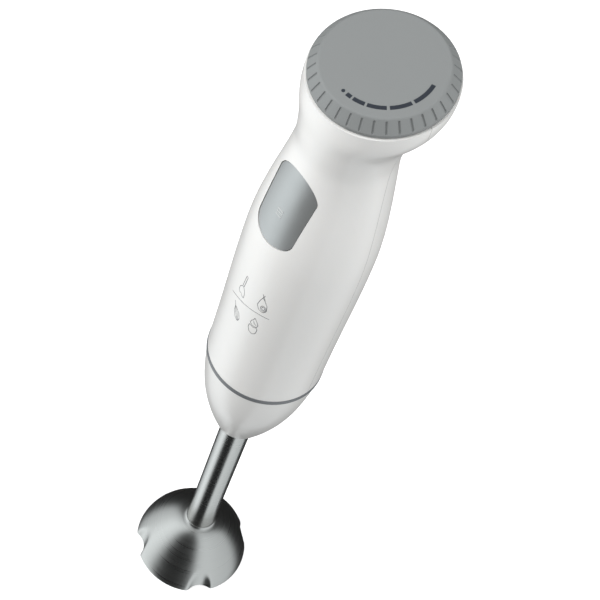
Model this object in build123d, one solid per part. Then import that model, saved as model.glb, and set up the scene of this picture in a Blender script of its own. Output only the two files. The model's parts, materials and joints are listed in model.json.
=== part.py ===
from build123d import *
import os
from math import cos, sin, radians

# Immersion blender, millimetres. +Z runs up the drive axis, the origin is on that
# axis in the plane of the guard's rim, and the button side faces -Y.

# ---- foot: guard, tube, blade -------------------------------------------------
guard_rim_r = 32.3          # guard, outer radius at the rim
guard_height = 33.0         # rim to the tube joint
guard_wall = 1.0
flute_r = 11.0              # inward flutes pressed in the guard
flute_depth = 3.8           # how far a flute pulls the rim in
flute_lean = 4.4            # degrees
flute_turn = -25.0          # azimuth of the first flute, from the front
flute_count = 4
tube_r = 8.0
tube_wall = 0.8
tube_stop = 7.4             # tube's upper end, below the plug's web
blade_gap = 4.0             # blade tip to the guard's flutes, at the rim
blade_z = 12.0              # underside of the blade hub
blade_thick = 1.6
blade_hub_r = 5.0
blade_hub_height = 6.0
shaft_r = 3.0               # drive shaft
bush_length = 9.0
screw_head_r = 3.6
screw_head_height = 2.4

# ---- foot: bell and plug --------------------------------------------------------
joint_z = 206.6             # middle of the trim ring
ring_height = 2.4
# side of the bell: radius less than at its top, depth below its top face
bell_points = ((0.0, 0.0), (1.5, 14.0), (4.4, 30.0), (8.7, 44.0), (16.0, 61.4))
bell_lip = 0.9
bell_wall = 2.2
plug_step = 6.0             # from the bell's edge in to the plug that enters the handle
plug_wall = 2.6
plug_rise = 12.0            # above the bell's top face
lug_reach = 2.0             # bayonet lugs, beyond the plug
lug_height = 3.2
lug_angle = 18.0            # degrees
lug_count = 3
lock_turn = 20.0            # twist that locks the foot

# ---- handle ----------------------------------------------------------------------
handle_wall = 2.4
split_y = 4.0               # parting plane of the two halves
handle_r = 28.3             # outer radius at the lower edge
# turned part of the handle: radius beyond handle_r, height above its lower edge
base_form = ((0.0, 0.0), (0.3, 42.4), (0.6, 82.4), (0.2, 95.4), (-1.0, 108.4), (-3.0, 122.4))
# neck and head: radius beyond handle_r, height above the lower edge, rearward shift of the centre
neck_form = ((-1.1, 109.4, 0.0), (-1.95, 115.9, 0.0), (-3.0, 122.4, 0.0), (-4.15, 129.4, 0.0),
             (-5.3, 136.4, -0.1), (-6.35, 143.4, -0.4), (-7.05, 150.4, -0.9), (-6.6, 157.4, -1.2),
             (-5.1, 164.4, -0.5), (-1.5, 171.4, 2.2), (1.0, 177.9, 4.0), (1.1, 184.4, 3.9))
trim_step = 0.25            # how far the trim ring stands proud of the handle
neck_start = 137.4          # height above the base where the head begins to lean
head_tilt = 15.7            # degrees, toward the front
lean_height = 43.0          # height over which the lean builds up

# ---- speed dial -------------------------------------------------------------------
dial_step = 0.7             # from the head's edge in to the dial's
dial_height = 6.2
dial_side = 5.1             # from the dial's edge in to its flat face
dial_shoulder = 0.9         # from the face to the cone that carries the grooves
dial_band = 1.4             # plain band under the grooves
dial_gap = 0.6              # dial to head
dial_wall = 2.0
dial_grooves = 36
groove_r = 0.55
tick_turn = 0.0             # index mark on the head, azimuth from the front
tick_height = -4.0
tick_relief = 0.3
spindle_r = 3.0
pot_r = 8.0
pot_height = 7.0
deck_thick = 2.5
nut_r = 5.5
nut_height = 2.0

# ---- power button -----------------------------------------------------------------
button_rise = 101.6         # lower edge of the button, above the handle's lower edge
button_length = 39.4
button_half_low = 11.2
button_half_high = 12.0
button_low_round = 6.5      # corner radii
button_high_round = 4.0
button_recess = 0.3
button_travel = 1.8
button_wall = 2.0
window_gap = 0.35
spring_r = 3.0
spring_wire_r = 0.35
spring_turns = 5

# ---- motor and electrics ----------------------------------------------------------
motor_rise = 30.2           # lower face of the can, above the handle's lower edge
can_height = 56.0
can_room = 7.8              # from the handle's outside in to the can
can_wall = 1.5
magnet_thick = 3.4
air_gap = 0.6
core_height = 36.0
core_slots = 12
motor_shaft_r = 2.5
bearing_r = 6.0
bearing_length = 5.0
commutator_r = 6.5
commutator_height = 9.0
brush_side = 5.0
end_cap_height = 14.0
fan_height = 7.0
fan_blades = 11
coupling_r = 8.5
dog_angle = 50.0
dog_height = 6.0
dog_gap = 0.3
board_thick = 1.6
board_width = 25.0
board_height = 44.0

# ---- clearances -------------------------------------------------------------------
run = 0.04                  # running fit, radial
slip = 0.3                  # parts that come apart or move past each other
seat = 0.05                 # fixed pieces seated together

# ---- radii and heights that follow ------------------------------------------------
base_points = [(handle_r + more, h) for more, h in base_form]
neck_sections = [(handle_r + more, h, shift) for more, h, shift in neck_form]
trim_r = handle_r + trim_step
bell_top_r = handle_r - 0.1
bell_small_r = bell_top_r - bell_points[-1][0]
plug_r = bell_top_r - plug_step
can_r = handle_r - can_room
fan_r = can_r - 0.5
dial_r = neck_sections[-1][0] - dial_step
dial_face_r = dial_r - dial_side
blade_r = guard_rim_r - flute_depth - guard_wall - blade_gap     # tip radius
ring_low = joint_z - ring_height / 2
ring_high = joint_z + ring_height / 2
bell_top = ring_low
base_z = ring_high                      # lower edge of the handle shells
bell_bottom = bell_top - bell_points[-1][1]
plug_top = bell_top + plug_rise
web_high = bell_top - 9.0               # web across the plug
web_low = web_high - 3.0
tube_top = web_low - tube_stop
button_low = base_z + button_rise
button_high = button_low + button_length
motor_low = base_z + motor_rise
motor_top = motor_low + can_height
sections = []
for r, h, shift in neck_sections:
    lean = min(max((h - neck_start) / lean_height, 0), 1)
    sections.append((base_z + h, r, shift, head_tilt * lean * lean * (3 - 2 * lean)))
top_height, top_r, top_shift, top_tilt = sections[-1]


def disc(radius, z0, z1, x=0.0, y=0.0):
    return Pos(x, y, (z0 + z1) / 2) * Cylinder(radius, z1 - z0)


def ring(outer, inner, z0, z1, x=0.0, y=0.0):
    return disc(outer, z0, z1, x, y) - disc(inner, z0 - 1, z1 + 1, x, y)


def wedge(outer, inner, z0, z1, mid, width):
    # part of a ring, centred on azimuth mid from the front, width in degrees
    half = radians(width / 2)
    far = outer * 8
    left, right = (-far * sin(half), -far * cos(half)), (far * sin(half), -far * cos(half))
    face = make_face(Polyline((0, 0), left, right, (0, 0)))
    return (ring(outer, inner, z0, z1) & extrude(Pos(0, 0, z0) * face, z1 - z0)).rotate(Axis.Z, mid)


def one(shape):
    # the single solid of a boolean's result
    found = shape.solids()
    return found[0] if len(found) == 1 else Compound(children=list(found))


def spin(points):
    # turned piece from a closed outline of (radius, height) points
    return revolve(make_face(Plane.XZ * Polyline(*points, points[0])), Axis.Z)


# ---- handle body ------------------------------------------------------------------
def section_plane(z, shift, tilt):
    return Plane(origin=(0, shift, z), x_dir=(1, 0, 0), z_dir=(0, -sin(radians(tilt)), cos(radians(tilt))))


dial_plane = section_plane(top_height + dial_gap, top_shift, top_tilt)
dial_at = Location(dial_plane)


def handle_solid(inset, over=0.0):
    # the handle's outer form brought in by inset, and carried past both of its ends by over
    side = Spline(*[(r - inset, base_z + h) for r, h in base_points], tangents=((0, 1), (-1, 6.2)))
    low_z, high_z = base_z - over, base_z + base_points[-1][1]
    edge_r = base_points[0][0] - inset
    rest = Polyline((base_points[-1][0] - inset, high_z), (0, high_z), (0, low_z), (edge_r, low_z),
                    *([(edge_r, base_z)] if over else []))
    turned = revolve(make_face([Plane.XZ * side] + (Plane.XZ * rest).edges()), Axis.Z)
    # the loft runs past both ends of the neck and head, and is trimmed back to them
    faces = [section_plane(z, shift, tilt) * Circle(r - inset) for z, r, shift, tilt in sections]
    faces.append(dial_plane.offset(6) * Circle(top_r - inset))
    room = 4 * top_r
    head = loft(faces) & Pos(0, 0, high_z + room / 2) * Box(room, room, room)
    head &= dial_plane.offset(over - dial_gap - room) * Pos(0, 0, room / 2) * Box(room, room, room)
    return turned + head


def button_outline(grow):
    # front view of the button, closed, grown by the given amount
    low_side = button_low + 4.1
    high_side = button_high - 7.8
    arc_low = ThreePointArc((-button_half_low, low_side), (0, button_low), (button_half_low, low_side))
    right = Line((button_half_low, low_side), (button_half_high, high_side))
    arc_high = ThreePointArc((button_half_high, high_side), (0, button_high), (-button_half_high, high_side))
    left = Line((-button_half_high, high_side), (-button_half_low, low_side))
    face = make_face([arc_low, right, arc_high, left])
    low_corners = face.vertices().sort_by(Axis.Y)[:2]
    face = fillet(low_corners, button_low_round)
    high_corners = [v for v in face.vertices() if abs(v.Y - high_side) < 0.01]
    face = fillet(high_corners, button_high_round)
    return offset(face, grow) if grow else face


def front_prism(grow, y0, y1):
    # the button's outline carried straight back from y0 to y1
    return extrude(Plane.XZ.offset(-y0) * button_outline(grow), -(y1 - y0))


# ---- head, dial and its spindle ---------------------------------------------------
def on_dial(shape):
    # a piece built upright about the origin, placed on the dial's own tilted axis
    return dial_at * shape


deck_high = -dial_gap - 0.5
deck_low = deck_high - deck_thick
bush_thread_r = 3.5
boss_low = nut_height + 0.5


def cone_r(height):
    # radius of the dial's sloping side at a height above its lower edge
    top = dial_face_r + dial_shoulder
    return dial_r - (dial_r - top) * (height - dial_band) / (dial_height - dial_band)


def speed_dial():
    outer = spin([(0, 0), (dial_r, 0), (dial_r, dial_band), (cone_r(dial_height), dial_height),
                  (0, dial_height)])
    rim = outer.edges().filter_by(GeomType.CIRCLE).sort_by(Axis.Z)
    outer = fillet([e for e in rim if e.center().Z > dial_band + 1], 1.2)
    roof = dial_height - dial_wall
    inset = 1.35 * dial_wall
    inner = spin([(0, -1), (dial_r - inset, -1), (dial_r - inset, dial_band), (cone_r(roof) - inset, roof),
                  (0, roof)])
    dial = outer - inner + ring(spindle_r + 3.2, spindle_r + run, boss_low, roof + 0.2)
    low_z, high_z = dial_band + groove_r + 0.1, dial_height - 1.1
    low = Vector(0, -(cone_r(low_z) + 0.05), low_z)
    high = Vector(0, -(cone_r(high_z) + 0.05), high_z)
    along = high - low
    cutter = Pos(0, 0, along.length / 2) * Cylinder(groove_r, along.length)
    cutter = Plane(origin=low, z_dir=along) * cutter
    cutter += Pos(*low) * Sphere(groove_r) + Pos(*high) * Sphere(groove_r)
    dial -= [cutter.rotate(Axis.Z, (i + 0.5) * 360 / dial_grooves) for i in range(dial_grooves)]
    return on_dial(one(dial))


def dial_spindle():
    shaft = disc(spindle_r, deck_low - pot_height + 1.2, dial_height - dial_wall - 0.1)
    return on_dial(shaft)


def dial_sensor():
    body = disc(pot_r, deck_low - pot_height, deck_low)
    body += disc(bush_thread_r, deck_low, nut_height + deck_high)
    body -= disc(spindle_r + run, deck_low - pot_height + 1, dial_height)
    lug = Pos(0, pot_r, deck_low - pot_height / 2) * Box(6, 5, 1.2)
    return on_dial(body + (lug - disc(pot_r - 1, deck_low - pot_height, deck_low)))


def sensor_nut():
    hexagon = extrude(Pos(0, 0, deck_high) * RegularPolygon(nut_r, 6), nut_height)
    return on_dial(hexagon - disc(bush_thread_r + seat, deck_high - 1, dial_height))


def head_deck():
    # closes the head under the dial, and fills it out to the wall all round
    plate = ring(2 * top_r, bush_thread_r + seat, deck_low, deck_high)
    rib = ring(pot_r + 4.5, pot_r + 3, deck_low - 3, deck_low + 1)
    return one(on_dial(plate + rib) & handle_solid(handle_wall + seat, 1))


# ---- button, its spring and its guide --------------------------------------------
button_z = (button_low + button_high) / 2 - 3
guide_y = -13.0
guide_thick = 2.0
guide_low = button_low + 7.0
guide_high = button_high - 4.0
button_in = handle_wall + slip + 1.3
plunger_r = 2.4


def power_button():
    flange = 1.4
    # the shell of the button ends short of its guide by its travel
    back_y = guide_y - button_travel - slip
    cap = (handle_solid(button_recess) - handle_solid(button_in, 1)) & front_prism(0, -60, back_y)
    lip = (handle_solid(handle_wall + slip) - handle_solid(button_in, 1)) & front_prism(flange, -60, back_y)
    face_y = -(outer_radius(button_z) - button_in)
    plunger = Pos(0, (face_y - 0.8 + guide_y - 0.2) / 2, button_z) * Rot(90, 0, 0) * Cylinder(
        plunger_r, guide_y - 0.2 - face_y + 0.8)
    return one(cap + lip + plunger)


def outer_radius(z):
    # outer radius of the turned part and neck at height z, between its given points
    pairs = [(base_z + h, r) for r, h in base_points] + [(base_z + h, r) for r, h, _ in neck_sections]
    pairs.sort()
    for (z0, r0), (z1, r1) in zip(pairs, pairs[1:]):
        if z0 <= z <= z1 and z1 > z0:
            return r0 + (r1 - r0) * (z - z0) / (z1 - z0)
    return pairs[-1][1]


def button_guide():
    # carrier plate behind the button, with the hole its plunger runs in
    y_mid = guide_y + guide_thick / 2
    block = Pos(0, y_mid, (guide_low + guide_high) / 2) * Box(60, guide_thick, guide_high - guide_low)
    plate = handle_solid(handle_wall + seat, 1) & block
    hole = Pos(0, y_mid, button_z) * Rot(90, 0, 0) * Cylinder(plunger_r + slip, 3 * guide_thick)
    return one(plate - hole)


def button_spring():
    # drawn at its length with the button held down
    face_y = -(outer_radius(button_z) - button_in)
    length = guide_y - face_y - button_travel - 2 * spring_wire_r - 2 * seat - 1.0
    coil = Helix(pitch=length / spring_turns, height=length, radius=plunger_r + spring_wire_r + 0.35)
    start = Plane(origin=coil @ 0, z_dir=coil % 0)
    wire = sweep(start * Circle(spring_wire_r), path=coil)
    return Pos(0, guide_y - spring_wire_r - seat, button_z) * Rot(90, 0, 0) * wire


switch_depth = 6.5
switch_height = 20.0


def microswitch():
    y0 = guide_y + guide_thick
    body = Pos(0, y0 + switch_depth / 2, button_z) * Box(10, switch_depth, switch_height)
    body -= Pos(0, y0, button_z) * Rot(90, 0, 0) * Cylinder(plunger_r + slip, 2 * (button_travel + 1.0))
    for z in (-6, 0, 6):
        body += Pos(0, y0 + switch_depth + 2, button_z + z) * Box(4.0, 4.1, 0.8)
    return body


# ---- circuit board -----------------------------------------------------------------
board_y = 4.0
board_low = button_low + 8.0
board_high = board_low + board_height
post_r = 2.5
post_x = 8.0


def board_posts(r, y0, y1):
    posts = []
    for x in (-post_x, post_x):
        for z in (board_low + 5, board_high - 16):
            posts.append(Pos(x, (y0 + y1) / 2, z) * Rot(90, 0, 0) * Cylinder(r, y1 - y0))
    return posts


def circuit_board():
    board = Pos(0, board_y - board_thick / 2, (board_low + board_high) / 2) * Box(
        board_width, board_thick, board_height)
    return board


def capacitor():
    y1 = board_y - board_thick
    return Pos(0, y1 - 4, board_high - 9) * Box(14, 8, 12)


def heat_sink():
    # finned bar that stands on the board beside the switch
    y1 = board_y - board_thick
    bar = Pos(9.2, y1 - 5.5, board_low + 10) * Box(5.0, 11, 18)
    for i in range(5):
        bar -= Pos(10.5, y1 - 5.5, board_low + 3.5 + i * 3.25) * Box(3.0, 12, 1.4)
    return bar


# ---- housing halves and screws ---------------------------------------------------
screw_x = 14.0
screw_z = base_z + 104.6
screw_r = 1.5
screw_seat_y = 15.0
screw_tip_y = -6.0
cord_z = base_z + 144.2
cord_bore_r = 3.0
cord_bush_r = 4.2
motor_rib_low = motor_top - 10
motor_rib_high = motor_top - 4
mount_r = can_r + 1.9       # outer radius of the rubber rings that hold the motor


def shell():
    # whole handle wall with its motor rib; the two halves are cut from it
    wall = handle_solid(0) - handle_solid(handle_wall, 1)
    rib = ring(base_points[2][0] - 1.2, mount_r + seat, motor_rib_low, motor_rib_high)
    return wall + rib


def across(r, y0, y1, x, z):
    # cylinder along Y
    return Pos(x, (y0 + y1) / 2, z) * Rot(90, 0, 0) * Cylinder(r, y1 - y0)


def front_housing():
    half = shell() & Pos(0, split_y - 100, base_z + 100) * Box(200, 200, 300)
    half -= front_prism(window_gap, -60, -4)
    for x in (-screw_x, screw_x):
        boss = across(3.4, screw_tip_y - 1.5, split_y, x, screw_z)
        web = Pos(x * 1.6, split_y - 4.5, screw_z) * Box(12, 3.0, 5)
        half += (boss + web) & handle_solid(handle_wall / 2)
        half -= across(screw_r + 0.02, screw_tip_y - 0.5, split_y + 1, x, screw_z)
    tick = (Pos(0, -top_r, tick_height) * Box(0.9, 2 * tick_relief, 2.6)).rotate(Axis.Z, tick_turn)
    return one(half + on_dial(tick))


def rear_housing():
    half = shell() & Pos(0, split_y + 100, base_z + 100) * Box(200, 200, 300)
    for x in (-screw_x, screw_x):
        boss = across(4.4, split_y, 40, x, screw_z) & handle_solid(handle_wall / 2)
        half += boss
        half -= across(screw_r + 0.1, split_y - 1, 40, x, screw_z)
        half -= across(3.2, screw_seat_y, 40, x, screw_z)
    for post in board_posts(post_r, board_y + seat, 40):
        half += post & handle_solid(handle_wall / 2)
    half -= across(cord_bush_r + seat, 5, 40, 0, cord_z)
    return one(half)


def housing_screws():
    screws = []
    for x in (-screw_x, screw_x):
        head = across(2.9, screw_seat_y + seat, screw_seat_y + 2.4, x, screw_z)
        head -= Pos(x, screw_seat_y + 2.4, screw_z) * (Box(3.6, 1.6, 0.8) + Box(0.8, 1.6, 3.6))
        screws.append(one(head + across(screw_r, screw_tip_y, screw_seat_y + 1, x, screw_z)))
    return Compound(children=screws)


def cord_bush():
    wall_y = outer_radius(cord_z)
    body = across(cord_bush_r, wall_y - 7.2, wall_y + 1.2, 0, cord_z)
    flange = across(cord_bush_r + 1.8, wall_y - 7.2, wall_y - 5.6, 0, cord_z)
    return body + flange - across(cord_bore_r, 0, 40, 0, cord_z)


# ---- trim ring, socket and cradle ---------------------------------------------------
inner_r = base_points[0][0] - handle_wall
channel_r = plug_r + lug_reach + slip
lug_high = plug_top - 0.2
lug_low = lug_high - lug_height
socket_high = plug_top + 2.6
cradle_thick = 3.0
cradle_high = socket_high + cradle_thick
fan_low = cradle_high + 3.0
hub_hole_r = coupling_r + 2.0


def trim_ring():
    return ring(trim_r, channel_r, ring_low, ring_high)


def bayonet_ring():
    body = ring(inner_r - seat, plug_r + slip, base_z, socket_high)
    for i in range(lug_count):
        mid = i * 360 / lug_count
        play = 1.0
        body -= wedge(channel_r, plug_r - 1, base_z - 1, lug_high + slip, mid, lug_angle + 2 * play)
        body -= wedge(channel_r, plug_r - 1, lug_low - slip, lug_high + slip, mid + lock_turn / 2,
                      lug_angle + lock_turn + 2 * play)
    return one(body)


def socket_seal():
    # flat rubber ring against the underside of the cradle
    return ring(plug_r - 0.4, plug_r - plug_wall - 0.6, plug_top + slip, socket_high - seat)


def motor_cradle():
    plate = ring(inner_r - seat, hub_hole_r, socket_high, cradle_high)
    cup = ring(mount_r + 1.6, mount_r + seat, cradle_high - 0.5, motor_low + 8)
    ledge = ring(mount_r + 1, can_r - 3.5, motor_low - 3.6, motor_low - 1.6)
    for i in range(8):
        plate += wedge(inner_r - 0.4, mount_r + 1, cradle_high - 0.5, motor_low, 22.5 + i * 45, 4)
    return one(plate + cup + ledge)


# ---- motor ---------------------------------------------------------------------------
bore_r = can_r - can_wall
magnet_outer = bore_r - seat
magnet_inner = magnet_outer - magnet_thick
core_r = magnet_inner - air_gap
core_low = motor_low + 11
core_high = core_low + core_height
cap_top = motor_top + end_cap_height
shaft_top = cap_top + 1.5
shaft_bottom = plug_top - 5.0
commutator_low = core_high + 8.5
boss_r = bearing_r + 2.0


def motor_can():
    can = disc(can_r, motor_low, motor_top) - disc(bore_r, motor_low + can_wall, motor_top + 1)
    can += disc(boss_r, motor_low, motor_low + bearing_length)
    return can - disc(bearing_r + seat, motor_low - 1, motor_low + 20)


def lower_motor_mount():
    return ring(mount_r, boss_r + 5, motor_low - 1.6 + seat, motor_low - seat) + ring(
        mount_r, can_r + seat, motor_low - 1, motor_low + 6)


def upper_motor_mount():
    return ring(mount_r, can_r + seat, motor_rib_low - 1, motor_rib_high + 1)


def magnets():
    half = wedge(magnet_outer, magnet_inner, core_low - 3, core_high + 3, 90, 140)
    return Compound(children=[one(half), one(half.rotate(Axis.Z, 180))])


def bearing(z0):
    return ring(bearing_r, motor_shaft_r + run, z0, z0 + bearing_length)


def lower_bearing():
    return bearing(motor_low)


def upper_bearing():
    return bearing(cap_top - bearing_length)


def motor_end_cap():
    wall = ring(can_r, can_r - 2.2, motor_top + seat, cap_top)
    plate = disc(can_r, cap_top - 2.5, cap_top) + disc(boss_r, cap_top - bearing_length, cap_top)
    cap = wall + plate - disc(bearing_r + seat, motor_top, cap_top + 1)
    for side in (-1, 1):
        cap -= Pos(side * can_r, 0, brush_z) * Box(10, brush_side + 2.2, brush_side + 2.2)
    return cap


brush_z = commutator_low + commutator_height / 2
tube_in = commutator_r + 3.0


def brush_tubes():
    tubes = []
    for side in (-1, 1):
        mid = side * (tube_in + can_r) / 2
        tube = Box(can_r - tube_in, brush_side + 2, brush_side + 2)
        tube -= Box(60, brush_side + 0.2, brush_side + 0.2)
        tubes.append(Pos(mid, 0, brush_z) * tube)
    return Compound(children=tubes)


def carbon_brushes():
    blocks = []
    for side in (-1, 1):
        block = Pos(side * (commutator_r + 5.5), 0, brush_z) * Box(11, brush_side, brush_side)
        blocks.append(block - disc(commutator_r + 0.1, motor_low, cap_top))
    return Compound(children=blocks)


def armature_core():
    core = ring(core_r, motor_shaft_r + 0.02, core_low, core_high)
    for i in range(core_slots):
        slot = Pos(core_r - 2.6, 0, (core_low + core_high) / 2) * Box(6.4, 2.0, core_height + 2)
        core -= slot.rotate(Axis.Z, i * 360 / core_slots)
    return core


def armature_windings():
    wound = ring(core_r - 1.2, core_r - 5.4, core_high + seat, core_high + 5.5)
    wound += ring(core_r - 1.2, core_r - 5.4, core_low - 5.5, core_low - seat)
    for i in range(core_slots):
        bar = Pos(core_r - 3.2, 0, (core_low + core_high) / 2) * Box(3.6, 1.6, core_height + 2)
        wound += bar.rotate(Axis.Z, i * 360 / core_slots)
    return one(wound)


def commutator():
    body = ring(commutator_r, motor_shaft_r + 0.02, commutator_low, commutator_low + commutator_height)
    for i in range(core_slots):
        gap = Pos(commutator_r, 0, commutator_low) * Box(1.6, 0.5, 3 * commutator_height)
        body -= gap.rotate(Axis.Z, (i + 0.5) * 360 / core_slots)
    return body


def motor_shaft():
    return disc(motor_shaft_r, shaft_bottom, shaft_top)


def cooling_fan():
    hub = ring(6.0, motor_shaft_r + 0.02, fan_low, fan_low + fan_height)
    plate = ring(fan_r, 5.0, fan_low + fan_height - 1.2, fan_low + fan_height)
    fan = hub + plate
    for i in range(fan_blades):
        blade = Pos((fan_r + 6) / 2 - 0.4, 0, fan_low + fan_height / 2) * Box(fan_r - 6, 1.0, fan_height)
        fan += blade.rotate(Axis((6, 0, 0), (0, 0, 1)), 14).rotate(Axis.Z, i * 360 / fan_blades)
    return one(fan & disc(fan_r, fan_low, fan_low + fan_height))


# ---- dog coupling --------------------------------------------------------------------
dogs_low = plug_top - 7.0           # tips of the motor coupling's dogs
dogs_high = dogs_low + dog_height


def motor_coupling():
    hub = ring(coupling_r, motor_shaft_r + 0.02, dogs_high, cradle_high + 1)
    for mid in (90, 270):
        hub += wedge(coupling_r - 0.2, shaft_r + 0.6, dogs_low, dogs_high + 0.2, mid, dog_angle)
    return one(hub)


def foot_coupling():
    top = dogs_low - dog_gap
    hub = disc(coupling_r, top - 7, top)
    for mid in (0, 180):
        hub += wedge(coupling_r - 0.2, shaft_r + 0.6, top - 0.2, dogs_high - dog_gap, mid, dog_angle)
    return one(hub - disc(shaft_r + 0.02, top - 8, top - 1.5))


# ---- foot ------------------------------------------------------------------------------
def bell_side(inset):
    side = [(bell_top_r - less - inset, bell_top - depth) for less, depth in bell_points]
    return Spline(*side)


def bell_solid(inset, over=0.0):
    rest = Polyline((bell_small_r - inset, bell_bottom), (0, bell_bottom), (0, bell_top),
                    (bell_top_r - inset, bell_top))
    solid = revolve(make_face([Plane.XZ * bell_side(inset)] + (Plane.XZ * rest).edges()), Axis.Z)
    return solid + disc(bell_top_r - inset, bell_top - 0.01, bell_top + over) if over else solid


hub_low = bell_bottom + bell_wall + 4.0


def foot_bell():
    bell = bell_solid(0)
    rim = [e for e in bell.edges().filter_by(GeomType.CIRCLE) if abs(e.center().Z - bell_bottom) < 0.01]
    bell = fillet(rim, bell_lip)
    hollow = bell_solid(bell_wall, 1) & disc(bell_top_r, bell_bottom + bell_wall, bell_top + 2)
    return one(bell - hollow - disc(tube_r + 0.1, bell_bottom - 1, bell_bottom + 10))


flange_high = bell_top - 0.2
flange_low = flange_high - 2.0
carrier_hub_r = tube_r + 3.0


def foot_carrier():
    plug = ring(plug_r, plug_r - plug_wall, web_low, plug_top)
    flange = ring(bell_top_r - bell_wall - slip, plug_r - 0.5, flange_low, flange_high)
    web = ring(plug_r - 0.5, shaft_r + 3.0, web_low, web_high)
    hub = ring(carrier_hub_r, tube_r + seat, hub_low, web_low + 0.5)
    carrier = plug + flange + web + hub
    carrier -= disc(tube_r + seat, hub_low - 1, tube_top + seat)
    for i in range(lug_count):
        carrier += wedge(plug_r + lug_reach, plug_r - 1, lug_low, lug_high, i * 360 / lug_count, lug_angle)
    return one(carrier)


tube_low = guard_height - 3.0


def shaft_tube():
    return ring(tube_r, tube_r - tube_wall, tube_low, tube_top)


def upper_bush():
    top = tube_top - 2
    return ring(tube_r - tube_wall - seat, shaft_r + run, top - bush_length, top)


def lower_bush():
    low = tube_low + 1.5
    return ring(tube_r - tube_wall - seat, shaft_r + run, low, low + bush_length)


def shaft_seal():
    body = ring(tube_r - tube_wall - seat, shaft_r + run, tube_low - 0.5, tube_low + 1.4)
    return body + ring(tube_r, shaft_r + run, tube_low - 2.2, tube_low - seat)


def drive_shaft():
    return disc(shaft_r, blade_z - 1.0, dogs_low - dog_gap - 1.5 - seat)


def dome_side(inset):
    r, h = guard_rim_r - inset, guard_height - inset
    return Spline((r, 0), (0.913 * r, 0.30 * h), (0.754 * r, 0.60 * h), (0.54 * r, 0.86 * h), (0.26 * r, h),
                  tangents=((-0.12, 1), (-1, 0.22)))


def dome_solid(inset):
    h = guard_height - inset
    r = guard_rim_r - inset
    rest = Polyline((0.26 * r, h), (0, h), (0, 0), (r, 0))
    return revolve(make_face([Plane.XZ * dome_side(inset)] + (Plane.XZ * rest).edges()), Axis.Z)


def flute_cutters(grow):
    centre = guard_rim_r - flute_depth + flute_r
    cutters = []
    for i in range(flute_count):
        rod = Pos(0, -centre, 0) * Rot(-flute_lean, 0, 0) * Cylinder(flute_r + grow, 3 * guard_height)
        cutters.append(rod.rotate(Axis.Z, flute_turn + i * 360 / flute_count))
    return cutters


def blade_guard():
    outer, inner = dome_solid(0), dome_solid(guard_wall)
    for cutter in flute_cutters(0):
        outer -= cutter
    for cutter in flute_cutters(guard_wall):
        inner -= cutter
    neck = ring(tube_r + 1.2, tube_r, guard_height - 1.4, guard_height + 1.6)
    guard = outer - inner + neck
    return one(guard - disc(tube_r + seat / 5, guard_height - 6, guard_height + 5))


sleeve_r = shaft_r + 1.0


def blade_hub():
    low = disc(blade_hub_r, blade_z, blade_z + 2.0)
    high = disc(blade_hub_r, blade_z + 2.0 + blade_thick, blade_z + blade_hub_height)
    sleeve = disc(sleeve_r, blade_z, blade_z + blade_hub_height)
    return low + high + sleeve - disc(shaft_r + 0.02, blade_z - 5, blade_z + 20)


def blade():
    # two swept wings, one tip turned up and the other down
    plate = Pos(0, 0, blade_z + 2.0 + blade_thick / 2) * Cylinder(blade_hub_r + 1.6, blade_thick)
    flat = blade_r * 0.55
    wing = Box(flat, 9.0, blade_thick)
    for side in (0, 180):
        inner = Pos(flat / 2, 1.0, 0) * wing
        bend = 18 if side == 0 else -18
        tip_length = (blade_r - flat) / cos(radians(bend)) - 0.6
        tip = Pos(flat, 1.0, 0) * Rot(0, -bend, 0) * Pos(tip_length / 2 - 0.4, 0, 0) * Box(
            tip_length, 9.0, blade_thick)
        wing_all = inner + tip
        edge = Pos(blade_r * 0.62, -4.2, 0) * Rot(0, 0, -9) * Box(blade_r, 3.0, 24)
        wing_all -= edge
        plate += Pos(0, 0, blade_z + 2.0 + blade_thick / 2) * wing_all.rotate(Axis.Z, side)
    return one(plate - disc(sleeve_r + 0.02, blade_z - 5, blade_z + 20))


def blade_screw():
    head = disc(screw_head_r + 1, blade_z - 1.0 - 1.0 - seat, blade_z - 1.0 - seat)
    head += disc(screw_head_r, blade_z - 1.0 - screw_head_height - 1.0, blade_z - 1.5)
    head -= Pos(0, 0, blade_z - 3.4 - 1.0) * Box(1.0, 8.0, 1.6)
    return head


PIECES = (
    front_housing, rear_housing, housing_screws, head_deck, speed_dial, dial_spindle, dial_sensor,
    sensor_nut, power_button, button_spring, button_guide, microswitch, circuit_board, capacitor,
    heat_sink, cord_bush, trim_ring, bayonet_ring, socket_seal, motor_cradle, motor_can,
    lower_motor_mount, upper_motor_mount, magnets, lower_bearing, motor_end_cap, upper_bearing,
    brush_tubes, carbon_brushes, armature_core, armature_windings, commutator, motor_shaft,
    cooling_fan, motor_coupling, foot_coupling, foot_bell, foot_carrier, shaft_tube, upper_bush,
    lower_bush, shaft_seal, drive_shaft, blade_guard, blade_hub, blade, blade_screw,
)

os.makedirs("parts", exist_ok=True)
for make in PIECES:
    export_step(make(), "parts/" + make.__name__ + ".step")
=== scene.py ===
import json
import math

import bpy
from bpy.props import FloatProperty, FloatVectorProperty, IntProperty, PointerProperty
from mathutils import Matrix, Vector


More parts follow.
